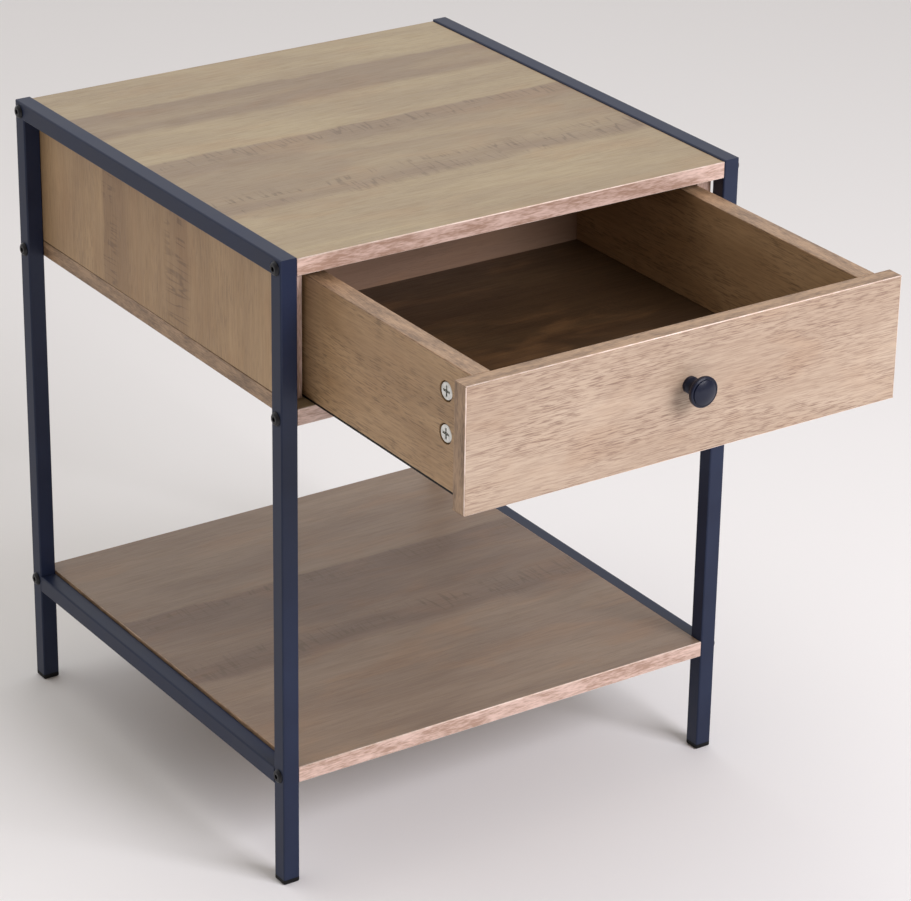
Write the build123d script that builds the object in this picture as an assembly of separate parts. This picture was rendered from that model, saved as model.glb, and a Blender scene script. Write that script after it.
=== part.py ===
from build123d import *
import os

os.makedirs("parts", exist_ok=True)

# ---------------------------------------------------------------------------
# Driving sizes, in millimetres.
# Frame of reference: +Z up, the drawer opens towards -Y, +X to the right.
# The origin is on the floor, midway between the four feet.
# The drawer is modelled pulled out by drawer_opening.
# ---------------------------------------------------------------------------

# The table as a whole
table_width = 465.0  # over the outer faces of the two side frames
table_depth = 460.0  # over the front and rear faces of the legs
table_height = 584.0

# Side frames of welded square steel tube
tube_size = 16.0
tube_wall = 1.2
tube_corner = 1.6
top_board_drop = 1.5  # the top board lies this far below the frame's top face
shelf_top_height = 113.5
shelf_proud = 2.5  # the lower shelf stands this far above the lower rails

# Feet pressed into the leg ends
foot_height = 5.0
foot_edge_radius = 1.8
foot_stem_length = 16.0
foot_stem_play = 0.6
foot_rib_play = 0.1
foot_rib_count = 3
foot_rib_thickness = 1.0

# Boards of the carcass
board_thickness = 15.0
board_inset = 0.5  # the boards' edges lie this far inside the legs' front and rear faces
opening_height = 117.5  # clear height between the compartment floor and the top board
panel_joint_gap = 0.6  # hairline left under the side and back panels
edge_band = 1.0
edge_round = 0.5
bottom_thickness = 3.0

# Drawer
drawer_front_thickness = 16.0
drawer_side_thickness = 18.0
drawer_back_thickness = 15.0
drawer_side_length = 405.0
drawer_side_height = 108.0
glide_thickness = 2.0
drawer_side_gap = 2.5  # each side, between the drawer and the side panel
drawer_front_gap = 2.0  # each side, between the drawer front and the frame
drawer_front_lift = 0.5  # above the compartment floor
drawer_front_recess = 1.0  # behind the boards' front edges when closed
drawer_stop_gap = 0.3  # left between the closed drawer front and the side panels
drawer_opening = 242.0
bottom_panel_raise = 8.0  # above the drawer sides' lower edges
groove_depth = 6.0
groove_play = 0.4  # shows as a fine dark line above the drawer bottom
groove_end_play = 0.5

# Frame bolts: button heads outside the legs, barrel nuts in the boards
bolt_diameter = 6.0
bolt_length = 35.0
bolt_head_diameter = 12.4
bolt_head_height = 2.8
bolt_rim_height = 0.6
bolt_socket_flats = 4.0
bolt_socket_depth = 1.9
bolt_hole_play = 0.6
bolt_hole_end_play = 1.0
barrel_nut_diameter = 10.0
barrel_nut_length = 12.0
barrel_nut_setback = 12.0  # from the board's end to the nut's axis
barrel_nut_play = 0.2
barrel_nut_slot_width = 1.2
barrel_nut_slot_depth = 1.2
thread_play = 0.1
thread_chamfer = 0.8

# Wooden dowels that locate the panels and the drawer front
dowel_diameter = 8.0
dowel_length = 30.0
dowel_short_end = 10.0  # the part of a dowel that enters the thinner cross grain
dowel_end_play = 0.5
dowel_chamfer = 1.0
panel_dowel_inset = 60.0  # from the panel's ends

# Cam connectors between the drawer front and the drawer sides
cam_diameter = 15.0
cam_length = 12.0
cam_play = 1.3
cam_recess = 0.5
cam_setback = 34.0  # from the drawer front's back face to the cam's centre
cam_top_drop = 26.0  # from the drawer side's top edge to the upper cam
cam_pitch = 36.0
cam_cross_length = 9.5
cam_cross_width = 2.1
cam_cross_depth = 3.0
cam_bore = 7.6
cam_edge_chamfer = 0.4
cam_bolt_thread = 11.0
cam_bolt_hole = 8.0
cam_bolt_collar = 2.0
cam_bolt_waist = 4.0
cam_bolt_head = 7.0

# Screws
back_screw_diameter = 4.0
back_screw_length = 45.0
back_screw_head = 8.0
back_screw_drop = 24.0
back_screw_pitch = 50.0
bottom_screw_diameter = 3.0
bottom_screw_length = 18.0
bottom_screw_head = 6.4
bottom_screw_pitch = 120.0
countersink_play = 0.2

# Knob
knob_drop = 47.5  # from the drawer front's top edge to the knob's axis
knob_base_diameter = 14.5
knob_base_height = 3.0
knob_neck_diameter = 10.0
knob_neck_length = 12.5
knob_head_diameter = 26.5
knob_head_rim = 4.0
knob_rim_round = 1.2
knob_dome = 3.0
knob_groove_diameter = 22.4
knob_groove_width = 1.0
knob_groove_depth = 0.6
knob_thread_depth = 9.0
knob_screw_diameter = 4.0
knob_screw_head = 8.4
knob_screw_head_height = 2.6
knob_screw_slot_width = 1.0
knob_screw_grip = 8.0  # how far the screw reaches into the knob

# ---------------------------------------------------------------------------
# Places worked out from the driving sizes
# ---------------------------------------------------------------------------

frame_outer_x = table_width / 2
frame_inner_x = frame_outer_x - tube_size
leg_centre_x = frame_outer_x - tube_size / 2
leg_outer_y = table_depth / 2
leg_centre_y = leg_outer_y - tube_size / 2
board_end_y = leg_outer_y - board_inset

top_board_top = table_height - top_board_drop
top_board_bottom = top_board_top - board_thickness
floor_top = top_board_bottom - opening_height
floor_bottom = floor_top - board_thickness
shelf_bottom = shelf_top_height - board_thickness
shelf_rail_top = shelf_top_height - shelf_proud
bolt_heights = [z + board_thickness / 2 for z in (shelf_bottom, floor_bottom, top_board_bottom)]

closed_front_y = -board_end_y + drawer_front_recess
panel_front_y = closed_front_y + drawer_front_thickness + drawer_stop_gap
panel_inner_x = frame_inner_x - board_thickness
panel_centre_x = frame_inner_x - board_thickness / 2
back_panel_front_y = board_end_y - board_thickness
panel_bottom = floor_top + panel_joint_gap

drawer_front_y = closed_front_y - drawer_opening
drawer_joint_y = drawer_front_y + drawer_front_thickness
drawer_rear_y = drawer_joint_y + drawer_side_length
drawer_outer_x = panel_inner_x - drawer_side_gap
drawer_inner_x = drawer_outer_x - drawer_side_thickness
drawer_side_centre_x = drawer_outer_x - drawer_side_thickness / 2
drawer_front_half_width = frame_inner_x - drawer_front_gap
side_bottom = floor_top + glide_thickness
side_top = side_bottom + drawer_side_height
front_bottom = floor_top + drawer_front_lift
bottom_panel_bottom = side_bottom + bottom_panel_raise
bottom_panel_top = bottom_panel_bottom + bottom_thickness
cam_heights = [side_top - cam_top_drop, side_top - cam_top_drop - cam_pitch]
drawer_dowel_height = (cam_heights[1] - cam_diameter / 2 + bottom_panel_top) / 2
back_screw_heights = [side_top - back_screw_drop, side_top - back_screw_drop - back_screw_pitch]
drawer_back_centre_y = drawer_rear_y - drawer_back_thickness / 2

up = (0, 0, 1)
rearward = (0, 1, 0)
sides = {"left": -1, "right": 1}
ends = {"front": -1, "rear": 1}


# ---------------------------------------------------------------------------
# Small helpers
# ---------------------------------------------------------------------------


def block(low, high):
    """Return a box between two opposite corners."""
    size = [b - a for a, b in zip(low, high)]
    centre = [(a + b) / 2 for a, b in zip(low, high)]
    return Pos(*centre) * Box(*size)


def rod(start, direction, length, diameter):
    """Return a cylinder that starts at a point and runs along a direction."""
    plane = Plane(origin=start, z_dir=direction)
    return extrude(plane * Circle(diameter / 2), length)


def turned(points, start, direction):
    """Return a piece turned on a lathe: (radius, height) points, stood on a point along a direction."""
    outline = make_face(Plane.XZ * Polyline(*points, close=True))
    return Plane(origin=start, z_dir=direction) * revolve(outline, Axis.Z)


def countersunk(start, direction, shank, length, head, grow=0.0):
    """Return a countersunk screw, or with grow its hole, with its head flush at the start."""
    cone = (head - shank) / 2
    points = [
        (0, 0),
        (head / 2 + grow, 0),
        (shank / 2 + grow, cone + grow),
        (shank / 2 + grow, length + grow),
        (0, length + grow),
    ]
    return turned(points, start, direction)


def cross_slots(start, direction, length, width, depth):
    """Return the two crossed slots of a screwdriver recess."""
    plane = Plane(origin=start, z_dir=direction)
    slot = extrude(plane * Rectangle(length, width), depth)
    return slot + extrude(plane * Rectangle(width, length), depth)


def rounded_edges(shape, direction, faces):
    """Round the edges that run along one axis where they bound the outermost of the given faces."""
    edges = shape.edges().filter_by(direction)
    picked = [e for e in edges if any(abs(e.center().dot(n) - d) < 1e-4 for n, d in faces)]
    return fillet(picked, edge_round)


def group(pieces):
    """Return separate solids as one compound."""
    solids = [solid for piece in pieces for solid in piece.solids()]
    return Compound(solids)


def save(name, shape):
    """Write one node as its own STEP file."""
    shape.label = name
    export_step(shape, f"parts/{name}.step")


# ---------------------------------------------------------------------------
# Side frames: mitred at the top corners, the lower rails butted between the legs
# ---------------------------------------------------------------------------


def square_tube(start, direction, length):
    """Return a straight length of the frame's square tube."""
    plane = Plane(origin=start, x_dir=(1, 0, 0), z_dir=direction)
    inner = tube_size - 2 * tube_wall
    outline = RectangleRounded(tube_size, tube_size, tube_corner)
    bore = RectangleRounded(inner, inner, tube_corner - tube_wall)
    return extrude(plane * (outline - bore), length)


def mitre_plane(x, end):
    """Return the plane of a top corner's mitre, facing up and towards the table's middle."""
    return Plane(origin=(x, end * leg_outer_y, table_height), z_dir=(0, -end, 1))


def frame_leg(side, end):
    """Return a leg with its mitred top and its three bolt holes."""
    x = side * leg_centre_x
    y = end * leg_centre_y
    leg = square_tube((x, y, foot_height), up, table_height - foot_height)
    leg = split(leg, bisect_by=mitre_plane(x, end), keep=Keep.BOTTOM)
    for z in bolt_heights:
        start = (x - side * tube_size, y, z)
        leg -= rod(start, (side, 0, 0), 2 * tube_size, bolt_diameter + bolt_hole_play)
    return leg


def frame_top_rail(side):
    """Return a top rail with both ends mitred."""
    x = side * leg_centre_x
    z = table_height - tube_size / 2
    rail = square_tube((x, -leg_outer_y, z), rearward, table_depth)
    for end in ends.values():
        rail = split(rail, bisect_by=mitre_plane(x, end), keep=Keep.TOP)
        start = (x - side * tube_size, end * leg_centre_y, bolt_heights[2])
        rail -= rod(start, (side, 0, 0), 2 * tube_size, bolt_diameter + bolt_hole_play)
    return rail


def frame_shelf_rail(side):
    """Return a lower rail, which is welded between the legs."""
    z = shelf_rail_top - tube_size / 2
    length = 2 * (leg_outer_y - tube_size)
    return square_tube((side * leg_centre_x, -length / 2, z), rearward, length)


def foot(side, end):
    """Return a plastic foot: a rounded pad below the leg and a ribbed stem up inside it."""
    x = side * leg_centre_x
    y = end * leg_centre_y
    bore = tube_size - 2 * tube_wall
    pad = extrude(Pos(x, y, 0) * RectangleRounded(tube_size, tube_size, tube_corner), foot_height)
    pad = fillet(pad.faces().sort_by(Axis.Z)[0].edges(), foot_edge_radius)
    stem_size = bore - 2 * foot_stem_play
    stem = extrude(Pos(x, y, foot_height) * Rectangle(stem_size, stem_size), foot_stem_length)
    rib_size = bore - 2 * foot_rib_play
    rib_step = foot_stem_length / (foot_rib_count + 1)
    for i in range(foot_rib_count):
        z = foot_height + rib_step * (i + 1)
        rib = Pos(x, y, z) * RectangleRounded(rib_size, rib_size, tube_corner - tube_wall)
        stem += extrude(rib, foot_rib_thickness)
    return pad + stem


for side_name, side in sides.items():
    save(f"{side_name}_top_rail", frame_top_rail(side))
    save(f"{side_name}_shelf_rail", frame_shelf_rail(side))
    for end_name, end in ends.items():
        save(f"{side_name}_{end_name}_leg", frame_leg(side, end))
        save(f"{side_name}_{end_name}_foot", foot(side, end))


# ---------------------------------------------------------------------------
# Top board, compartment floor and lower shelf, each bolted between the frames
# ---------------------------------------------------------------------------


def panel_dowels(joint_z, board_side):
    """Return the dowels across one horizontal joint; board_side is the way to the horizontal board."""
    far_y = board_end_y - board_thickness / 2
    near_y = panel_front_y + panel_dowel_inset
    places = [(side * panel_centre_x, y) for side in (-1, 1) for y in (near_y, far_y - panel_dowel_inset)]
    places += [(side * (panel_inner_x - panel_dowel_inset), far_y) for side in (-1, 1)]
    start_z = joint_z + board_side * dowel_short_end
    return [((x, y, start_z), (0, 0, -board_side)) for x, y in places]


floor_dowel_places = panel_dowels(floor_top, -1)
top_dowel_places = panel_dowels(top_board_bottom, 1)


def dowel(place):
    """Return a beech dowel with chamfered ends."""
    start, direction = place
    return chamfer(rod(start, direction, dowel_length, dowel_diameter).edges(), dowel_chamfer)


def dowel_hole(place):
    """Return the drilling for a dowel, a little longer at both ends."""
    start, direction = place
    low = Vector(*start) - Vector(*direction) * dowel_end_play
    return rod(low, direction, dowel_length + 2 * dowel_end_play, dowel_diameter)


def bolted_board(bottom, dowel_places):
    """Return a horizontal board and its four edge bands, drilled for bolts, nuts and dowels."""
    top = bottom + board_thickness
    x, y = frame_inner_x, board_end_y
    core = block((edge_band - x, edge_band - y, bottom), (x - edge_band, y - edge_band, top))
    bands = []
    for end in ends.values():
        low_y, high_y = sorted((end * y, end * (y - edge_band)))
        band = block((-x, low_y, bottom), (x, high_y, top))
        outer = [(Vector(0, end, 0), y)]
        bands.append(rounded_edges(band, Axis.X, outer))
    for side in sides.values():
        low_x, high_x = sorted((side * x, side * (x - edge_band)))
        band = block((low_x, edge_band - y, bottom), (high_x, y - edge_band, top))
        outer = [(Vector(side, 0, 0), x)]
        bands.append(rounded_edges(band, Axis.Y, outer))
    cuts = [dowel_hole(place) for place in dowel_places]
    for side in sides.values():
        for end in ends.values():
            z = bottom + board_thickness / 2
            start = (side * x, end * leg_centre_y, z)
            reach = bolt_length - tube_size + bolt_hole_end_play
            cuts.append(rod(start, (-side, 0, 0), reach, bolt_diameter + bolt_hole_play))
            pocket = (side * (x - barrel_nut_setback), end * leg_centre_y, bottom)
            cuts.append(rod(pocket, up, barrel_nut_top, barrel_nut_diameter + barrel_nut_play))
    for cut in cuts:
        core -= cut
        bands = [band - cut for band in bands]
    return core, group(bands)


barrel_nut_top = board_thickness / 2 + barrel_nut_length / 2

boards = {
    "top_board": (top_board_bottom, top_dowel_places),
    "compartment_floor": (floor_bottom, floor_dowel_places),
    "lower_shelf": (shelf_bottom, []),
}
for name, (bottom, places) in boards.items():
    core, bands = bolted_board(bottom, places)
    save(name, core)
    save(f"{name}_edge_bands", bands)


# ---------------------------------------------------------------------------
# Side panels and back panel, held between the top board and the compartment floor
# ---------------------------------------------------------------------------


def drilled(shape):
    """Cut the dowel holes of both horizontal joints."""
    for place in floor_dowel_places + top_dowel_places:
        shape -= dowel_hole(place)
    return shape


for side_name, side in sides.items():
    low_x, high_x = sorted((side * frame_inner_x, side * panel_inner_x))
    low = (low_x, panel_front_y + edge_band, panel_bottom)
    panel = block(low, (high_x, board_end_y, top_board_bottom))
    save(f"{side_name}_side_panel", drilled(panel))
    band_high = (high_x, panel_front_y + edge_band, top_board_bottom)
    band = block((low_x, panel_front_y, panel_bottom), band_high)
    front_face = [(Vector(0, -1, 0), -panel_front_y)]
    save(f"{side_name}_side_panel_edge_band", rounded_edges(band, Axis.Z, front_face))

back_low = (-panel_inner_x, back_panel_front_y, panel_bottom)
back_panel = block(back_low, (panel_inner_x, board_end_y, top_board_bottom))
save("back_panel", drilled(back_panel))
save("floor_dowels", group([dowel(place) for place in floor_dowel_places]))
save("top_board_dowels", group([dowel(place) for place in top_dowel_places]))


# ---------------------------------------------------------------------------
# Bolts and barrel nuts that clamp the boards between the frames
# ---------------------------------------------------------------------------


def frame_bolt(side, end, height):
    """Return a black button-head bolt with a hexagon socket."""
    start = (side * frame_outer_x, end * leg_centre_y, height)
    inward = (-side, 0, 0)
    head_radius = bolt_head_diameter / 2
    flat_radius = bolt_socket_flats
    rim = Line((head_radius, 0), (head_radius, -bolt_rim_height))
    middle = (0.85 * head_radius, -0.72 * bolt_head_height)
    dome = ThreePointArc(rim @ 1, middle, (flat_radius, -bolt_head_height))
    crown = Polyline(dome @ 1, (0, -bolt_head_height), (0, 0), (head_radius, 0))
    head = revolve(make_face(Plane.XZ * (rim + dome + crown)), Axis.Z)
    socket = Pos(0, 0, -bolt_head_height) * RegularPolygon(bolt_socket_flats / 2, 6, major_radius=False)
    head -= extrude(socket, bolt_socket_depth)
    shank = extrude(Circle(bolt_diameter / 2), bolt_length)
    shank = chamfer(shank.edges().sort_by(Axis.Z)[-1], thread_chamfer)
    return Plane(origin=start, z_dir=inward) * (head + shank)


def barrel_nut(side, end, bottom):
    """Return a barrel nut standing in the board, with its cross hole on the bolt's axis."""
    x = side * (frame_inner_x - barrel_nut_setback)
    y = end * leg_centre_y
    base = bottom + barrel_nut_top - barrel_nut_length
    nut = rod((x, y, base), up, barrel_nut_length, barrel_nut_diameter)
    start = (x - barrel_nut_diameter, y, bottom + board_thickness / 2)
    nut -= rod(start, (1, 0, 0), 2 * barrel_nut_diameter, bolt_diameter + thread_play)
    half = barrel_nut_slot_width / 2
    slot_low = (x - barrel_nut_diameter, y - half, base)
    return nut - block(slot_low, (x + barrel_nut_diameter, y + half, base + barrel_nut_slot_depth))


corners = [(side, end) for side in sides.values() for end in ends.values()]
save("frame_bolts", group([frame_bolt(s, e, z) for s, e in corners for z in bolt_heights]))
save("barrel_nuts", group([barrel_nut(s, e, bottom) for s, e in corners for bottom, _ in boards.values()]))


# ---------------------------------------------------------------------------
# Drawer front with its edge bands, and the drawer box
# ---------------------------------------------------------------------------

groove_top = bottom_panel_top + groove_play
cam_places = [(side, z) for side in sides.values() for z in cam_heights]
cam_y = drawer_joint_y + cam_setback
drawer_dowel_places = [
    ((side * drawer_side_centre_x, drawer_joint_y - dowel_short_end, drawer_dowel_height), rearward)
    for side in sides.values()
]


def drawer_front():
    """Return the drawer front's core and its four edge bands."""
    x = drawer_front_half_width
    back = drawer_joint_y
    inner = (edge_band - x, drawer_front_y, front_bottom + edge_band)
    core = block(inner, (x - edge_band, back, side_top - edge_band))
    groove_x = drawer_inner_x + groove_depth
    groove_low = (-groove_x, back - groove_depth, bottom_panel_bottom)
    core -= block(groove_low, (groove_x, back, groove_top))
    for side, z in cam_places:
        start = (side * drawer_side_centre_x, back, z)
        hole = cam_bolt_thread + groove_end_play
        core -= rod(start, (0, -1, 0), hole, bolt_diameter + thread_play)
    for place in drawer_dowel_places:
        core -= dowel_hole(place)
    knob_start = (0, drawer_front_y, side_top - knob_drop)
    core -= rod(knob_start, rearward, drawer_front_thickness, knob_screw_diameter + bolt_hole_play)
    bands = []
    for low_z, high_z, way in (
        (front_bottom, front_bottom + edge_band, -1),
        (side_top - edge_band, side_top, 1),
    ):
        band = block((-x, drawer_front_y, low_z), (x, back, high_z))
        outer = [(Vector(0, 0, way), way * (low_z if way < 0 else high_z))]
        bands.append(rounded_edges(band, Axis.X, outer))
    for side in sides.values():
        low_x, high_x = sorted((side * x, side * (x - edge_band)))
        low = (low_x, drawer_front_y, front_bottom + edge_band)
        band = block(low, (high_x, back, side_top - edge_band))
        bands.append(rounded_edges(band, Axis.Z, [(Vector(side, 0, 0), x)]))
    return core, group(bands)


def drawer_side(side):
    """Return a drawer side, grooved and drilled, and the band on its top edge."""
    low_x, high_x = sorted((side * drawer_outer_x, side * drawer_inner_x))
    core_top = side_top - edge_band
    board = block((low_x, drawer_joint_y, side_bottom), (high_x, drawer_rear_y, core_top))
    groove_x = sorted((side * drawer_inner_x, side * (drawer_inner_x + groove_depth)))
    groove_low = (groove_x[0], drawer_joint_y, bottom_panel_bottom)
    board -= block(groove_low, (groove_x[1], drawer_rear_y, groove_top))
    for z in cam_heights:
        mouth = (side * drawer_outer_x, cam_y, z)
        depth = cam_recess + cam_length + cam_play
        board -= rod(mouth, (-side, 0, 0), depth, cam_diameter + 2 * cam_play)
        start = (side * drawer_side_centre_x, drawer_joint_y, z)
        board -= rod(start, rearward, cam_setback, cam_bolt_hole)
    for place in drawer_dowel_places:
        board -= dowel_hole(place)
    for z in back_screw_heights:
        board -= back_screw(side, z, countersink_play)
    band = block((low_x, drawer_joint_y, core_top), (high_x, drawer_rear_y, side_top))
    return board, rounded_edges(band, Axis.Y, [(Vector(0, 0, 1), side_top)])


def back_screw(side, z, grow=0.0):
    """Return a screw through a drawer side into the drawer back, or with grow its hole."""
    start = (side * drawer_outer_x, drawer_back_centre_y, z)
    inward = (-side, 0, 0)
    return countersunk(start, inward, back_screw_diameter, back_screw_length, back_screw_head, grow)


def bottom_screw(x, grow=0.0):
    """Return a screw up through the drawer bottom into the drawer back, or with grow its hole."""
    start = (x, drawer_back_centre_y, bottom_panel_bottom)
    return countersunk(start, up, bottom_screw_diameter, bottom_screw_length, bottom_screw_head, grow)


bottom_screw_xs = [i * bottom_screw_pitch for i in (-1, 0, 1)]


def drawer_back():
    """Return the drawer back, which stands on the drawer bottom between the sides."""
    low = (-drawer_inner_x, drawer_rear_y - drawer_back_thickness, bottom_panel_top)
    back = block(low, (drawer_inner_x, drawer_rear_y, side_top))
    for side in sides.values():
        for z in back_screw_heights:
            back -= back_screw(side, z, thread_play)
    for x in bottom_screw_xs:
        back -= bottom_screw(x, thread_play)
    return back


def drawer_bottom():
    """Return the thin drawer bottom, held in the grooves of the sides and the front."""
    x = drawer_inner_x + groove_depth - groove_end_play
    front = drawer_joint_y - groove_depth + groove_end_play
    panel = block((-x, front, bottom_panel_bottom), (x, drawer_rear_y, bottom_panel_top))
    for place in bottom_screw_xs:
        panel -= bottom_screw(place, countersink_play)
    return panel


front_core, front_bands = drawer_front()
save("drawer_front", front_core)
save("drawer_front_edge_bands", front_bands)
for side_name, side in sides.items():
    board, band = drawer_side(side)
    save(f"drawer_{side_name}_side", board)
    save(f"drawer_{side_name}_side_edge_band", band)
    low_x, high_x = sorted((side * drawer_outer_x, side * drawer_inner_x))
    glide = block((low_x, drawer_joint_y, floor_top), (high_x, drawer_rear_y, side_bottom))
    save(f"drawer_{side_name}_glide_strip", glide)
save("drawer_back", drawer_back())
save("drawer_bottom", drawer_bottom())
save("drawer_back_screws", group([back_screw(s, z) for s in sides.values() for z in back_screw_heights]))
save("drawer_bottom_screws", group([bottom_screw(x) for x in bottom_screw_xs]))
save("drawer_front_dowels", group([dowel(place) for place in drawer_dowel_places]))


# ---------------------------------------------------------------------------
# Cam connectors that hold the drawer front to the drawer sides
# ---------------------------------------------------------------------------


def cam(side, z):
    """Return a cam with its cross recess outside and the bore that takes the cam bolt's head."""
    inward = (-side, 0, 0)
    start = (side * (drawer_outer_x - cam_recess), cam_y, z)
    body = chamfer(rod(start, inward, cam_length, cam_diameter).edges(), cam_edge_chamfer)
    body -= cross_slots(start, inward, cam_cross_length, cam_cross_width, cam_cross_depth)
    bore_start = (side * drawer_side_centre_x, cam_y - cam_diameter, z)
    return body - rod(bore_start, rearward, cam_diameter + cam_bore / 2, cam_bore)


def cam_bolt(side, z):
    """Return a cam bolt: thread in the drawer front, collar at the joint, head inside the cam."""
    thread = bolt_diameter / 2
    collar = cam_bolt_hole / 2 - thread_play
    waist = cam_bolt_waist / 2
    head = cam_bolt_head / 2
    slope = thread - waist
    neck_start = cam_setback - cam_bore
    head_start = cam_setback - cam_bore / 4
    head_end = cam_setback + cam_bore / 4
    points = [
        (0, -cam_bolt_thread),
        (waist, -cam_bolt_thread),
        (thread, slope - cam_bolt_thread),
        (thread, 0),
        (collar, 0),
        (collar, cam_bolt_collar),
        (thread, cam_bolt_collar),
        (thread, neck_start),
        (waist, neck_start + slope),
        (waist, head_start - slope),
        (head, head_start),
        (head, head_end),
        (0, head_end),
    ]
    return turned(points, (side * drawer_side_centre_x, drawer_joint_y, z), rearward)


save("drawer_cams", group([cam(side, z) for side, z in cam_places]))
save("drawer_cam_bolts", group([cam_bolt(side, z) for side, z in cam_places]))


# ---------------------------------------------------------------------------
# Knob and the screw that holds it from inside the drawer
# ---------------------------------------------------------------------------

knob_axis = Plane(origin=(0, drawer_front_y, side_top - knob_drop), z_dir=(0, -1, 0))


def knob():
    """Return the mushroom knob: base, waisted neck, and a domed head with a ring groove."""
    base = knob_base_diameter / 2
    neck = knob_neck_diameter / 2
    head = knob_head_diameter / 2
    head_start = knob_base_height + knob_neck_length
    rim_top = head_start + knob_head_rim
    corner = knob_rim_round
    bulge = (1 - 0.5**0.5) * corner
    side = Polyline((0, 0), (base, 0), (base, knob_base_height))
    waist_middle = (neck, knob_base_height + 0.42 * knob_neck_length)
    waist = ThreePointArc(side @ 1, waist_middle, (head - 2 * corner, head_start))
    underside = Line(waist @ 1, (head - corner, head_start))
    lower_end = (head, head_start + corner)
    lower_round = ThreePointArc(underside @ 1, (head - bulge, head_start + bulge), lower_end)
    rim = Line(lower_round @ 1, (head, rim_top - corner))
    upper_round = ThreePointArc(rim @ 1, (head - bulge, rim_top - bulge), (head - corner, rim_top))
    top = rim_top + knob_dome
    reach = head - corner
    dome_radius = (reach**2 + knob_dome**2) / (2 * knob_dome)
    face_middle = (reach / 2, top - dome_radius + (dome_radius**2 - (reach / 2) ** 2) ** 0.5)
    face = ThreePointArc(upper_round @ 1, face_middle, (0, top))
    outline = side + waist + underside + lower_round + rim + upper_round + face + Line(face @ 1, (0, 0))
    body = revolve(make_face(Plane.XZ * outline), Axis.Z)
    groove_radius = knob_groove_diameter / 2
    surface = rim_top + knob_dome * (1 - (groove_radius / reach) ** 2)
    profile = Pos(groove_radius, surface) * Rectangle(knob_groove_width, 2 * knob_groove_depth)
    body -= revolve(Plane.XZ * profile, Axis.Z)
    body -= extrude(Circle(knob_screw_diameter / 2 + thread_play / 2), knob_thread_depth)
    return knob_axis * body


def knob_screw():
    """Return the pan-head screw that comes through the drawer front into the knob."""
    radius = knob_screw_diameter / 2
    head = knob_screw_head / 2
    height = knob_screw_head_height
    reach = drawer_front_thickness + knob_screw_grip
    head_side = Polyline((0, 0), (head, 0), (head, -0.4 * height))
    crown = ThreePointArc(head_side @ 1, (0.75 * head, -0.88 * height), (0.3 * head, -height))
    axis_side = Polyline(crown @ 1, (0, -height), (0, 0))
    body = revolve(make_face(Plane.XZ * (head_side + crown + axis_side)), Axis.Z)
    body += chamfer(extrude(Circle(radius), reach).edges().sort_by(Axis.Z)[-1], thread_chamfer)
    body -= cross_slots((0, 0, -height), up, 1.1 * head, knob_screw_slot_width, 0.6 * height)
    start = (0, drawer_joint_y, side_top - knob_drop)
    return Plane(origin=start, z_dir=(0, -1, 0)) * body


save("knob", knob())
save("knob_screw", knob_screw())
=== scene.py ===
import math

import bmesh
import bpy
from mathutils import Matrix, Vector


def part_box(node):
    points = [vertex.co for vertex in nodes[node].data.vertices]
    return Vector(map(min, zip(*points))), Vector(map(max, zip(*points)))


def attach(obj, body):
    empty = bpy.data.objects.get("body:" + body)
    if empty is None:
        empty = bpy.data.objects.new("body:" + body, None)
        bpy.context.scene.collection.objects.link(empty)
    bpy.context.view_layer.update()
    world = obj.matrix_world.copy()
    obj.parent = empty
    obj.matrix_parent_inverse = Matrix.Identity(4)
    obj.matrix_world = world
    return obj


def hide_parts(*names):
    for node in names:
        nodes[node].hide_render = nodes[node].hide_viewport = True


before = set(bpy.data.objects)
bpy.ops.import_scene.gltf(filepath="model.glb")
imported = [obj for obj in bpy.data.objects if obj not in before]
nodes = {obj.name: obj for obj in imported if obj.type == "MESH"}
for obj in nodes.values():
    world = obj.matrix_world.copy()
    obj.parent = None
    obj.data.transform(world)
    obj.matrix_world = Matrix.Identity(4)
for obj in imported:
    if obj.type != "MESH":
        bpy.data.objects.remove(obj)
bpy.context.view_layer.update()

# ---------------------------------------------------------------------------
# Side frames. Welded 16 mm square steel tube, ground flush at the joints and then
# powder coated in a blue-black, its blue partly painted reflection that stands in for the
# blue light on the front faces. The legs and rails keep their modelled shape and get
# the coating, with its slight orange peel and faint mottling. In every pattern here,
# a scale of 1000 / x makes features about x millimetres across.
# ---------------------------------------------------------------------------


def linear(hex_colour):
    """Turn an sRGB hex colour into linear RGBA."""
    parts = [int(hex_colour[i : i + 2], 16) / 255 for i in (1, 3, 5)]
    return [c / 12.92 if c <= 0.04045 else ((c + 0.055) / 1.055) ** 2.4 for c in parts] + [1.0]


def add(tree, kind, inputs=None, **settings):
    """Add a shader node with its settings; an input is a value, or the socket that feeds it."""
    node = tree.nodes.new(kind)
    for name, value in settings.items():
        setattr(node, name, value)
    for name, value in (inputs or {}).items():
        if isinstance(value, bpy.types.NodeSocket):
            tree.links.new(value, node.inputs[name])
        else:
            node.inputs[name].default_value = value
    return node


def new_material(name):
    """Make an empty material and return it with its tree and its principled shader."""
    material = bpy.data.materials.new(name)
    material.use_nodes = True
    tree = material.node_tree
    return material, tree, tree.nodes["Principled BSDF"]


def finish_shader(tree, shader, **inputs):
    """Set or link the principled shader's inputs, named with underscores for spaces."""
    for name, value in inputs.items():
        socket = shader.inputs[name.replace("_", " ")]
        if isinstance(value, bpy.types.NodeSocket):
            tree.links.new(value, socket)
        else:
            socket.default_value = value


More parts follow.
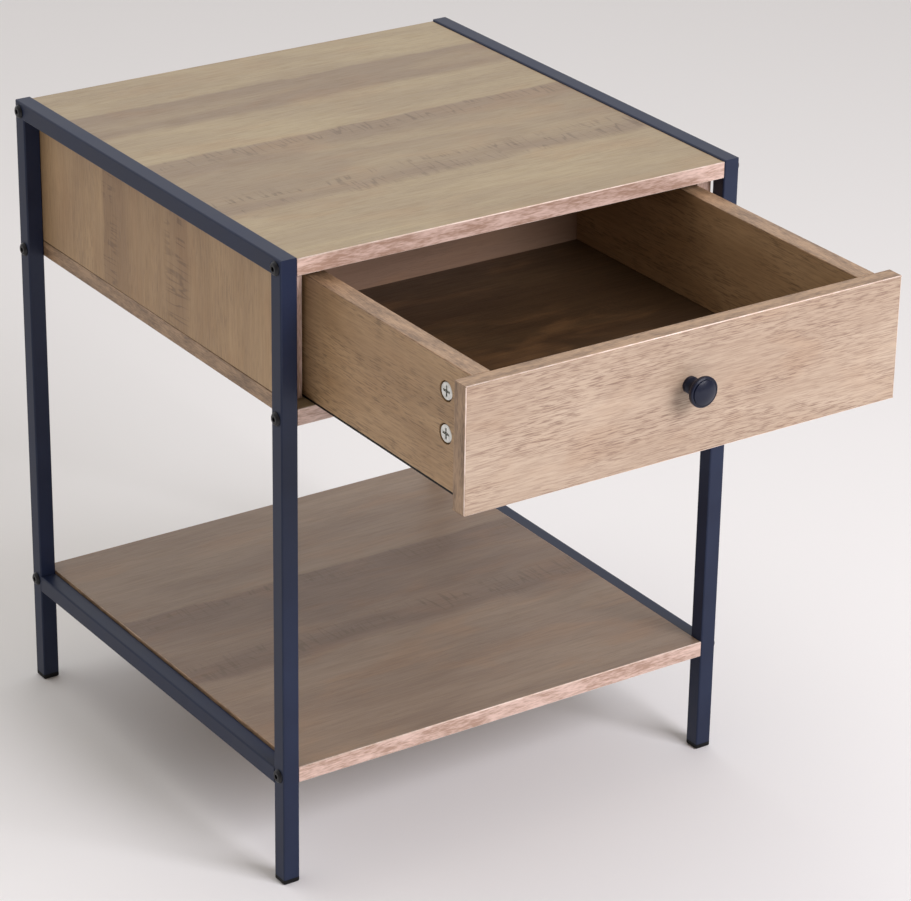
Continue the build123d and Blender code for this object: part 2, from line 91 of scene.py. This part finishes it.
def powder_coat(name, colour, pale_colour):
    """Blue-black polyester powder coat, its blue partly painted reflection: satin, with a faint orange peel
    about 1.5 mm across.
    """
    material, tree, shader = new_material(name)
    place = add(tree, "ShaderNodeTexCoord").outputs["Object"]
    peel = add(tree, "ShaderNodeTexNoise", {"Vector": place, "Scale": 1000 / 1.5, "Detail": 2.0})
    mottle = add(tree, "ShaderNodeTexNoise", {"Vector": place, "Scale": 1000 / 45, "Detail": 3.0})
    limits = {"Value": mottle.outputs["Fac"], "From Min": 0.35, "From Max": 0.7}
    tone = add(tree, "ShaderNodeMapRange", limits)
    blend = {"Factor": tone.outputs["Result"], 6: linear(colour), 7: linear(pale_colour)}
    mixed = add(tree, "ShaderNodeMix", blend, data_type="RGBA")
    gloss = {"Value": mottle.outputs["Fac"], "To Min": 0.36, "To Max": 0.5}
    roughness = add(tree, "ShaderNodeMapRange", gloss)
    relief = {"Height": peel.outputs["Fac"], "Strength": 0.25, "Distance": 0.00008}
    bump = add(tree, "ShaderNodeBump", relief)
    finish_shader(
        tree, shader, Base_Color=mixed.outputs[2], Roughness=roughness.outputs["Result"],
        Normal=bump.outputs["Normal"], IOR=1.5, Specular_IOR_Level=0.27,
    )
    return material


def cover(names, material):
    """Give CAD nodes a material in place of their plain one."""
    for name in names:
        piece = nodes[name]
        piece.data.materials.clear()
        piece.data.materials.append(material)


sides = ("left", "right")
ends = ("front", "rear")
frame_tubes = [f"{side}_{end}_leg" for side in sides for end in ends]
frame_tubes += [f"{side}_{rail}" for side in sides for rail in ("top_rail", "shelf_rail")]
# The coat's blue tint partly stands in for blue light reflected on the front faces: painted reflection.
frame_coat_with_painted_blue = powder_coat("satin blue-black powder coat", "#1a233b", "#1f2942")
cover(frame_tubes, frame_coat_with_painted_blue)

# ---------------------------------------------------------------------------
# Feet. Injection-moulded black polyethylene plugs pressed into the leg ends. Their
# pads are spark-eroded to a fine matt grain and a little scuffed from the floor.
# ---------------------------------------------------------------------------


def moulded_plastic(name, colour, worn_colour, grain_mm):
    """Matt moulded polyethylene: an even fine grain and slightly paler scuffs."""
    material, tree, shader = new_material(name)
    place = add(tree, "ShaderNodeTexCoord").outputs["Object"]
    grain = add(tree, "ShaderNodeTexNoise", {"Vector": place, "Scale": 1000 / grain_mm, "Detail": 3.0})
    scuff = add(tree, "ShaderNodeTexNoise", {"Vector": place, "Scale": 1000 / 6, "Detail": 6.0})
    limits = {"Value": scuff.outputs["Fac"], "From Min": 0.55, "From Max": 0.75}
    worn = add(tree, "ShaderNodeMapRange", limits)
    blend = {"Factor": worn.outputs["Result"], 6: linear(colour), 7: linear(worn_colour)}
    mixed = add(tree, "ShaderNodeMix", blend, data_type="RGBA")
    relief = {"Height": grain.outputs["Fac"], "Strength": 0.4, "Distance": 0.00006}
    bump = add(tree, "ShaderNodeBump", relief)
    finish_shader(
        tree, shader, Base_Color=mixed.outputs[2], Roughness=0.55, IOR=1.49, Specular_IOR_Level=0.2,
        Normal=bump.outputs["Normal"],
    )
    return material


black_plastic = moulded_plastic("moulded black polyethylene", "#0c0c0d", "#1d1d1f", 0.6)
cover([f"{side}_{end}_foot" for side in sides for end in ends], black_plastic)

# ---------------------------------------------------------------------------
# Boards. Particle board pressed with a printed melamine film of weathered oak: broad
# soft bands along the grain, fine streaks, short dark pores, and patches of saw marks
# across the grain. The film is satin, with the pores pressed in a little.
# ---------------------------------------------------------------------------

grain_axes = {"X": ("X", "Y", "Z"), "Y": ("Y", "Z", "X"), "Z": ("Z", "Y", "X")}


def oak_print(
    name, grain, planks=(), light="#ad9c7b", dark="#8d7a63", pore="#65523f", figure=1.0, lines=0.1,
    dashes=0.2, stroke_mm=(11, 0.8), shift=0.0,
):
    """Printed oak melamine with its grain along one axis. The print shows planks side by side, and
    planks lists where the darker ones start and end across the grain, in millimetres."""
    material, tree, shader = new_material(name)
    place = add(tree, "ShaderNodeTexCoord").outputs["Object"]
    axes = add(tree, "ShaderNodeSeparateXYZ", {"Vector": place})
    along, across, depth = [axes.outputs[axis] for axis in grain_axes[grain]]
    lie = add(tree, "ShaderNodeCombineXYZ", {"X": along, "Y": across, "Z": depth}).outputs["Vector"]

    def pattern(length_mm, width_mm, detail, move, distort=0.0):
        """Noise stretched along the grain, its patches about length by width across."""
        scale = (1000 / length_mm, 1000 / width_mm, 1000 / width_mm)
        placing = {"Vector": lie, "Scale": scale, "Location": (move, move, shift)}
        sized = add(tree, "ShaderNodeMapping", placing)
        settings = {
            "Vector": sized.outputs["Vector"], "Scale": 1.0, "Detail": detail, "Distortion": distort,
        }
        return add(tree, "ShaderNodeTexNoise", settings).outputs["Fac"]

    def between(value, low, high, to_low=0.0, to_high=1.0):
        """Spread a value between two limits, with soft ends."""
        limits = {"Value": value, "From Min": low, "From Max": high, "To Min": to_low, "To Max": to_high}
        return add(tree, "ShaderNodeMapRange", limits, interpolation_type="SMOOTHSTEP").outputs["Result"]

    def maths(operation, first, second=0.0):
        """Combine two values."""
        return add(tree, "ShaderNodeMath", {0: first, 1: second}, operation=operation).outputs["Value"]

    def mixed(amount, under, over):
        """Lay one colour over another by an amount."""
        blend = {"Factor": amount, 6: under, 7: over}
        return add(tree, "ShaderNodeMix", blend, data_type="RGBA").outputs[2]

    wander = maths("MULTIPLY", maths("SUBTRACT", pattern(70, 400, 4.0, 4.4), 0.5), 18.0)
    line = maths("ADD", maths("MULTIPLY", across, 1000.0), wander)
    clouds = between(pattern(190, 55, 3.0, 3.1, 0.8), 0.3, 0.7)
    warmth = between(pattern(90, 35, 3.0, 12.6, 0.5), 0.48, 0.72)
    streaks = between(pattern(150, 7.0, 4.0, 7.7, 0.8), 0.35, 0.68)
    fine = between(pattern(32, 1.3, 4.0, 1.9), 0.4, 0.66)
    teeth = between(maths("ABSOLUTE", maths("SUBTRACT", pattern(8.0, 70, 1.0, 6.1), 0.5)), 0.045, 0.012)
    ragged = between(pattern(50, 14, 2.0, 2.2), 0.4, 0.55)
    pores = between(pattern(stroke_mm[0], stroke_mm[1], 3.0, 5.3), 0.48, 0.64)
    dense = between(pattern(90, 26, 3.0, 8.8), 0.33, 0.62, 0.25, 1.0)
    soft_start = 9  # half the width of a dark plank's blurred edge, in millimetres
    soft_end = 3
    sawn_plank = 80  # narrower planks show no saw marks
    depth_of_tone = maths("MULTIPLY", clouds, 0.45 * figure)
    marks = 0.0
    for start, end in planks:
        inside = maths(
            "MULTIPLY",
            between(line, start - soft_start, start + soft_start),
            between(line, end + soft_end, end - soft_end),
        )
        rim = maths("MAXIMUM", between(line, end - 60, end), between(line, start + 45, start))
        tone = maths("MULTIPLY", inside, maths("ADD", maths("MULTIPLY", rim, 0.45), 0.4))
        depth_of_tone = maths("ADD", depth_of_tone, tone)
        if end - start < sawn_plank:
            continue
        rows = maths("MAXIMUM", between(line, end - 32, end - 14), between(line, start + 46, start + 26))
        cut = maths("MULTIPLY", maths("MULTIPLY", rows, inside), maths("MULTIPLY", teeth, ragged))
        marks = maths("ADD", cut, marks)
    colour = mixed(maths("MINIMUM", depth_of_tone, 1.0), linear(light), linear(dark))
    colour = mixed(maths("MULTIPLY", warmth, 0.16 * figure), colour, linear("#a97c50"))
    colour = mixed(maths("MULTIPLY", streaks, 0.24 * figure), colour, linear(dark))
    colour = mixed(maths("MULTIPLY", fine, lines), colour, linear(pore))
    colour = mixed(maths("MULTIPLY", marks, 0.58), colour, linear(pore))
    speckle = maths("MULTIPLY", pores, dense)
    colour = mixed(maths("MULTIPLY", speckle, dashes), colour, linear(pore))
    relief = maths("ADD", maths("MULTIPLY", fine, 0.3), speckle)
    pressed = {"Height": relief, "Strength": 0.5, "Distance": 0.00008}
    bump = add(tree, "ShaderNodeBump", pressed, invert=True)
    gloss = between(fine, 0.0, 1.0, 0.42, 0.52)
    finish_shader(
        tree, shader, Base_Color=colour, Roughness=gloss, IOR=1.5, Normal=bump.outputs["Normal"],
    )
    return material


top_print = oak_print("oak print melamine, top board", "X", [(-119, 21), (98, 157)])
cover(["top_board"], top_print)
floor_print = oak_print("oak print melamine, compartment floor", "X", [(-60, 85)], shift=4.0)
cover(["compartment_floor"], floor_print)
shelf_print = oak_print(
    "oak print melamine, lower shelf", "X", [(-56, 82)], light="#937f6b", dark="#766151",
    figure=1.2, shift=9.0,
)
cover(["lower_shelf"], shelf_print)
for side in sides:
    panel_print = oak_print(
        f"oak print melamine, {side} side panel", "Z", [(-50, 96)],
        light="#b79871", dark="#9a7c5b", pore="#6e5641",
        figure=1.3, dashes=0.35,
    )
    cover([f"{side}_side_panel"], panel_print)
back_print = oak_print("oak print melamine, back panel", "X", light="#a58a75", dark="#8a6d5a", shift=2.0)
cover(["back_panel"], back_print)

# ---------------------------------------------------------------------------
# Drawer boards. The front, sides and back are the same melamine board, with the grain
# along each piece. The front's film is more open, with many short dark pores. Its ground
# is paler and pinker than the sides', partly painted front light; the back's is darker,
# painted shade from inside the drawer box. The bottom is thin hardboard with a plain
# brown printed face.
# ---------------------------------------------------------------------------

# The front's paler, pinker ground is partly painted front light; its open film and pores are the print's
# own.
front_print_with_painted_light = oak_print(
    "oak print melamine, drawer front", "X", light="#bfab96", dark="#a38b75", pore="#785c4c",
    figure=1.0, lines=0.26, dashes=0.75, stroke_mm=(13, 0.85), shift=6.0,
)
cover(["drawer_front"], front_print_with_painted_light)
for side in sides:
    side_print = oak_print(
        f"oak print melamine, drawer {side} side", "Y", light="#bb9a73", dark="#947451", pore="#5f4a34",
        figure=1.2, lines=0.16, dashes=0.55, stroke_mm=(13, 1.3),
    )
    cover([f"drawer_{side}_side"], side_print)
# The back's darker ground is painted shade from inside the drawer box.
rear_print_with_painted_shade = oak_print("oak print melamine, drawer back", "X", light="#9c7f69", dark="#7f624f", shift=1.0)
cover(["drawer_back"], rear_print_with_painted_shade)
bottom_print = oak_print(
    "brown printed hardboard", "X", light="#5a452e", dark="#3f2c1d", pore="#2a1d12", figure=1.5,
)
cover(["drawer_bottom"], bottom_print)

# ---------------------------------------------------------------------------
# Edge bands. Strips of printed ABS, 1 mm thick, glued to the boards' edges, trimmed
# flush and scraped round. Each corner that faces forwards gets a thin pale line of painted
# highlight. The table's forward-facing bands get a lighter, pinker colour, which is partly
# their own print and partly painted front light.
# ---------------------------------------------------------------------------


def banded_abs(name, grain, light, dark):
    """Printed ABS edge band: pinkish oak with fine short streaks along the band."""
    material, tree, shader = new_material(name)
    place = add(tree, "ShaderNodeTexCoord").outputs["Object"]
    axes = add(tree, "ShaderNodeSeparateXYZ", {"Vector": place})
    along, across, depth = [axes.outputs[axis] for axis in grain_axes[grain]]
    lie = add(tree, "ShaderNodeCombineXYZ", {"X": along, "Y": across, "Z": depth}).outputs["Vector"]
    streak_scale = (1000 / 7, 1000 / 1.1, 1000 / 1.1)
    streak_size = add(tree, "ShaderNodeMapping", {"Vector": lie, "Scale": streak_scale})
    mottle_scale = (1000 / 40, 1000 / 8, 1000 / 8)
    mottle_size = add(tree, "ShaderNodeMapping", {"Vector": lie, "Scale": mottle_scale})
    streak_noise = {"Vector": streak_size.outputs["Vector"], "Scale": 1.0, "Detail": 4.0}
    streak = add(tree, "ShaderNodeTexNoise", streak_noise)
    mottle_noise = {"Vector": mottle_size.outputs["Vector"], "Scale": 1.0, "Detail": 2.0}
    mottle = add(tree, "ShaderNodeTexNoise", mottle_noise)
    both = add(tree, "ShaderNodeMath", {0: streak.outputs["Fac"], 1: mottle.outputs["Fac"]}, operation="ADD")
    limits = {"Value": both.outputs["Value"], "From Min": 0.8, "From Max": 1.2}
    spread = add(tree, "ShaderNodeMapRange", limits)
    blend = {"Factor": spread.outputs["Result"], 6: linear(light), 7: linear(dark)}
    mixed = add(tree, "ShaderNodeMix", blend, data_type="RGBA")
    relief = {"Height": streak.outputs["Fac"], "Strength": 0.3, "Distance": 0.00005}
    bump = add(tree, "ShaderNodeBump", relief)
    finish_shader(
        tree, shader, Base_Color=mixed.outputs[2], Roughness=0.42, IOR=1.53, Normal=bump.outputs["Normal"],
    )
    return material


def painted_highlight_abs():
    """Painted highlight on an ABS band's rounded corner: a pale, glossy colour that stands in for the light
    it catches.
    """
    material, tree, shader = new_material("painted highlight on ABS corner")
    place = add(tree, "ShaderNodeTexCoord").outputs["Object"]
    chatter = add(tree, "ShaderNodeTexNoise", {"Vector": place, "Scale": 1000 / 8, "Detail": 4.0})
    limits = {"Value": chatter.outputs["Fac"], "From Min": 0.35, "From Max": 0.65}
    spread = add(tree, "ShaderNodeMapRange", limits)
    blend = {"Factor": spread.outputs["Result"], 6: linear("#f1dfd3"), 7: linear("#d9c0ae")}
    mixed = add(tree, "ShaderNodeMix", blend, data_type="RGBA")
    finish_shader(tree, shader, Base_Color=mixed.outputs[2], Roughness=0.35, IOR=1.53)
    return material


painted_corner_highlight = painted_highlight_abs()
# The pink bands are lighter and pinker than the tan ones: partly the band's own pinkish print, partly
# painted front light.
pink_band_with_painted_light = {
    axis: banded_abs(f"pink oak ABS edge band along {axis}", axis, "#d9bdb0", "#a88977") for axis in "XYZ"
}
tan_band = {
    axis: banded_abs(f"tan oak ABS edge band along {axis}", axis, "#ac8d6e", "#785f47") for axis in "XYZ"
}
corner_round = 0.0007
same_place = 1e-6
facing_front = -0.1  # a normal's Y below this looks forwards, where the corner keeps its painted highlight


def edge_band(name, low, high, outward, body):
    """Build one strip with its two outer corners rounded, the front ones given a painted highlight, on a
    body.
    """
    size = [b - a for a, b in zip(low, high)]
    run = size.index(max(size))
    mesh = bmesh.new()
    bmesh.ops.create_cube(mesh, size=1.0)
    for corner in mesh.verts:
        corner.co = [a + s * (c + 0.5) for a, s, c in zip(low, size, corner.co)]
    way = Vector(outward)
    limit = max(corner.co.dot(way) for corner in mesh.verts)
    long_edges = [
        edge for edge in mesh.edges
        if all(abs(corner.co.dot(way) - limit) < same_place for corner in edge.verts)
        and abs(edge.verts[0].co[run] - edge.verts[1].co[run]) > same_place
    ]
    bmesh.ops.bevel(
        mesh, geom=long_edges, offset=corner_round, segments=3, profile=0.5, affect="EDGES", material=1,
    )
    bmesh.ops.recalc_face_normals(mesh, faces=mesh.faces)
    data = bpy.data.meshes.new(name)
    mesh.to_mesh(data)
    mesh.free()
    for face in data.polygons:
        face.use_smooth = face.material_index == 1
        # Only forward-facing corner faces keep the pale painted highlight; the rest take the band's print.
        if face.normal.y > facing_front:
            face.material_index = 0
    # Forward-facing table bands take the lighter pink colour, partly painted front light.
    printed = pink_band_with_painted_light if body == "table" and outward[1] < 0 else tan_band
    data.materials.append(printed["XYZ"[run]])
    data.materials.append(painted_corner_highlight)
    piece = bpy.data.objects.new(name, data)
    bpy.context.scene.collection.objects.link(piece)
    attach(piece, body)
    return piece


def band_strips(node, board, body, faces):
    """Stand strips in for a node of edge bands, one on each named side of its board."""
    low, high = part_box(node)
    inner_low, inner_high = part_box(board)
    for side_name, axis, way in faces:
        strip_low = list(low)
        strip_high = list(high)
        if way > 0:
            strip_low[axis] = inner_high[axis]
        else:
            strip_high[axis] = inner_low[axis]
        if axis != faces[0][1]:
            other = faces[0][1]
            strip_low[other] = inner_low[other]
            strip_high[other] = inner_high[other]
        outward = [0, 0, 0]
        outward[axis] = way
        piece = edge_band(f"{node}_{side_name}", strip_low, strip_high, outward, body)
        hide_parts(node)


plan_faces = [("front", 1, -1), ("rear", 1, 1), ("left", 0, -1), ("right", 0, 1)]
for board in ("top_board", "compartment_floor", "lower_shelf"):
    band_strips(f"{board}_edge_bands", board, "table", plan_faces)
for side in sides:
    band_strips(f"{side}_side_panel_edge_band", f"{side}_side_panel", "table", [("front", 1, -1)])
    band_strips(f"drawer_{side}_side_edge_band", f"drawer_{side}_side", "drawer", [("top", 2, 1)])
front_faces = [("bottom", 2, -1), ("top", 2, 1), ("left", 0, -1), ("right", 0, 1)]
band_strips("drawer_front_edge_bands", "drawer_front", "drawer", front_faces)

# ---------------------------------------------------------------------------
# Glide strips. Extruded black plastic strips stapled under the drawer sides.
# ---------------------------------------------------------------------------

cover([f"drawer_{side}_glide_strip" for side in sides], black_plastic)

# ---------------------------------------------------------------------------
# Frame bolts. M6 button-head bolts with a hexagon socket, blackened with a thin
# lacquer that shines on the dome and leaves the socket dark.
# ---------------------------------------------------------------------------


def blackened_steel():
    """Black oxide steel under lacquer: dark, with fine turning marks and a soft gloss."""
    material, tree, shader = new_material("black oxide bolt steel")
    place = add(tree, "ShaderNodeTexCoord").outputs["Object"]
    marks = add(tree, "ShaderNodeTexNoise", {"Vector": place, "Scale": 1000 / 0.8, "Detail": 4.0})
    relief = {"Height": marks.outputs["Fac"], "Strength": 0.3, "Distance": 0.00004}
    bump = add(tree, "ShaderNodeBump", relief)
    tone = add(tree, "ShaderNodeMapRange", {"Value": marks.outputs["Fac"], "To Min": 0.25, "To Max": 0.45})
    finish_shader(
        tree, shader, Base_Color=linear("#17181c"), Metallic=0.4, Roughness=tone.outputs["Result"],
        Normal=bump.outputs["Normal"],
    )
    return material


cover(["frame_bolts"], blackened_steel())

# ---------------------------------------------------------------------------
# Cams, cam bolts, screws and barrel nuts. Cast or turned steel and zinc with a bright
# zinc plate: pale grey, slightly clouded, and finely pitted.
# ---------------------------------------------------------------------------


def zinc_plate(name, colour, dull_colour, roughness):
    """Bright zinc plate: a pale grey metal with a soft cloudy bloom."""
    material, tree, shader = new_material(name)
    place = add(tree, "ShaderNodeTexCoord").outputs["Object"]
    cloud = add(tree, "ShaderNodeTexNoise", {"Vector": place, "Scale": 1000 / 4, "Detail": 5.0})
    pits = add(tree, "ShaderNodeTexNoise", {"Vector": place, "Scale": 1000 / 0.5, "Detail": 2.0})
    limits = {"Value": cloud.outputs["Fac"], "From Min": 0.35, "From Max": 0.65}
    spread = add(tree, "ShaderNodeMapRange", limits)
    blend = {"Factor": spread.outputs["Result"], 6: linear(colour), 7: linear(dull_colour)}
    mixed = add(tree, "ShaderNodeMix", blend, data_type="RGBA")
    relief = {"Height": pits.outputs["Fac"], "Strength": 0.3, "Distance": 0.00004}
    bump = add(tree, "ShaderNodeBump", relief)
    finish_shader(
        tree, shader, Base_Color=mixed.outputs[2], Metallic=1.0, Roughness=roughness,
        Normal=bump.outputs["Normal"],
    )
    return material


zinc = zinc_plate("bright zinc plate", "#ecede9", "#d2d3cf", 0.42)
zinc_parts = ["barrel_nuts", "drawer_back_screws", "drawer_bottom_screws", "drawer_cam_bolts", "knob_screw"]
cover(zinc_parts + ["drawer_cams"], zinc)

# ---------------------------------------------------------------------------
# Knob. A die-cast mushroom knob with a ring groove, finished in satin blue-black enamel
# and screwed on from inside the drawer front. The enamel's blue is partly its own and
# partly painted reflection, standing in for bluish highlights on the dome.
# ---------------------------------------------------------------------------


def enamel_with_painted_blue():
    """Satin blue-black stoved enamel, its blue partly painted reflection: smooth, with a soft clear gloss.
    """
    material, tree, shader = new_material("satin black stoved enamel")
    place = add(tree, "ShaderNodeTexCoord").outputs["Object"]
    flow = add(tree, "ShaderNodeTexNoise", {"Vector": place, "Scale": 1000 / 3, "Detail": 2.0})
    bump = add(tree, "ShaderNodeBump", {"Height": flow.outputs["Fac"], "Strength": 0.15, "Distance": 0.0001})
    tone = add(tree, "ShaderNodeMapRange", {"Value": flow.outputs["Fac"], "To Min": 0.28, "To Max": 0.36})
    # The blue base colour partly stands in for bluish reflected light: painted reflection.
    finish_shader(
        tree, shader, Base_Color=linear("#0e1428"), Roughness=tone.outputs["Result"], IOR=1.5,
        Specular_IOR_Level=0.25,
        Coat_Weight=0.1, Coat_Roughness=0.12, Normal=bump.outputs["Normal"],
    )
    return material


cover(["knob"], enamel_with_painted_blue())

# ---------------------------------------------------------------------------
# Dowels. Turned beech pins, pressed in with glue; pale, with fine darker flecks.
# ---------------------------------------------------------------------------


def beech():
    """Turned beech: pale brown with short darker flecks."""
    material, tree, shader = new_material("turned beech")
    place = add(tree, "ShaderNodeTexCoord").outputs["Object"]
    flecks = add(tree, "ShaderNodeTexNoise", {"Vector": place, "Scale": 1000 / 1.5, "Detail": 3.0})
    limits = {"Value": flecks.outputs["Fac"], "From Min": 0.5, "From Max": 0.7}
    spread = add(tree, "ShaderNodeMapRange", limits)
    blend = {"Factor": spread.outputs["Result"], 6: linear("#d9b98c"), 7: linear("#b78f62")}
    mixed = add(tree, "ShaderNodeMix", blend, data_type="RGBA")
    finish_shader(tree, shader, Base_Color=mixed.outputs[2], Roughness=0.7, IOR=1.5)
    return material


cover(["floor_dowels", "top_board_dowels", "drawer_front_dowels"], beech())

# ---------------------------------------------------------------------------
# Studio. A plain matt white floor, a large soft light high on the front right, a weaker
# one overhead, and a pale sky that is warmer and dimmer at the front than at the rear.
# ---------------------------------------------------------------------------

floor_data = bpy.data.meshes.new("floor")
floor_reach = 12.0
floor_corners = [(x * floor_reach, y * floor_reach, 0) for x, y in ((-1, -1), (1, -1), (1, 1), (-1, 1))]
floor_data.from_pydata(floor_corners, [], [(0, 1, 2, 3)])
floor = bpy.data.objects.new("floor", floor_data)
bpy.context.scene.collection.objects.link(floor)
floor_paint, floor_tree, floor_shader = new_material("matt white studio floor")
finish_shader(floor_tree, floor_shader, Base_Color=linear("#f0f0f0"), Roughness=0.9)
floor_data.materials.append(floor_paint)


def soft_light(name, place, aim, size, power, colour):
    """Hang a large square light that points at a place."""
    data = bpy.data.lights.new(name, "AREA")
    data.shape = "SQUARE"
    data.size = size
    data.energy = power
    data.color = linear(colour)[:3]
    light = bpy.data.objects.new(name, data)
    light.location = place
    light.rotation_euler = (Vector(aim) - Vector(place)).to_track_quat("-Z", "Y").to_euler()
    bpy.context.scene.collection.objects.link(light)


middle = (0, -0.1, 0.35)
soft_light("key", (0.9, -3.0, 2.1), middle, 1.8, 105, "#fbf8ff")
soft_light("overhead", (-0.2, 0.6, 2.8), middle, 1.6, 10, "#fffaf0")

world = bpy.data.worlds.new("pale studio")
world.use_nodes = True
sky = world.node_tree
facing = add(sky, "ShaderNodeSeparateXYZ", {"Vector": add(sky, "ShaderNodeTexCoord").outputs["Generated"]})
to_rear = add(sky, "ShaderNodeMapRange", {"Value": facing.outputs["Y"], "From Min": -0.3, "From Max": 0.9})
tint = add(
    sky, "ShaderNodeMix",
    {"Factor": to_rear.outputs["Result"], 6: linear("#a59c95"), 7: linear("#fdfdff")}, data_type="RGBA",
)
backdrop = sky.nodes["Background"]
sky.links.new(tint.outputs[2], backdrop.inputs["Color"])
backdrop.inputs["Strength"].default_value = 1.0
bpy.context.scene.world = world
bpy.context.scene.view_settings.view_transform = "Standard"

camera_place = Vector((-1.611, -2.518, 1.650))
camera_turn = math.radians(34.13)  # to the right of straight ahead
camera_dip = math.radians(24.76)
camera_roll = math.radians(0.94)
ahead = Vector((math.sin(camera_turn) * math.cos(camera_dip), math.cos(camera_turn) * math.cos(camera_dip),
                -math.sin(camera_dip)))
level = Vector((math.cos(camera_turn), -math.sin(camera_turn), 0))
upright = level.cross(ahead)
rolled = level * math.cos(camera_roll) + upright * math.sin(camera_roll)
top = upright * math.cos(camera_roll) - level * math.sin(camera_roll)
camera_data = bpy.data.cameras.new("camera")
camera_data.sensor_width = 36.0
camera_data.lens = 141.5
camera_data.clip_end = 60.0
camera = bpy.data.objects.new("camera", camera_data)
camera.matrix_world = Matrix.Translation(camera_place) @ Matrix((rolled, top, -ahead)).transposed().to_4x4()
bpy.context.scene.collection.objects.link(camera)
bpy.context.scene.camera = camera
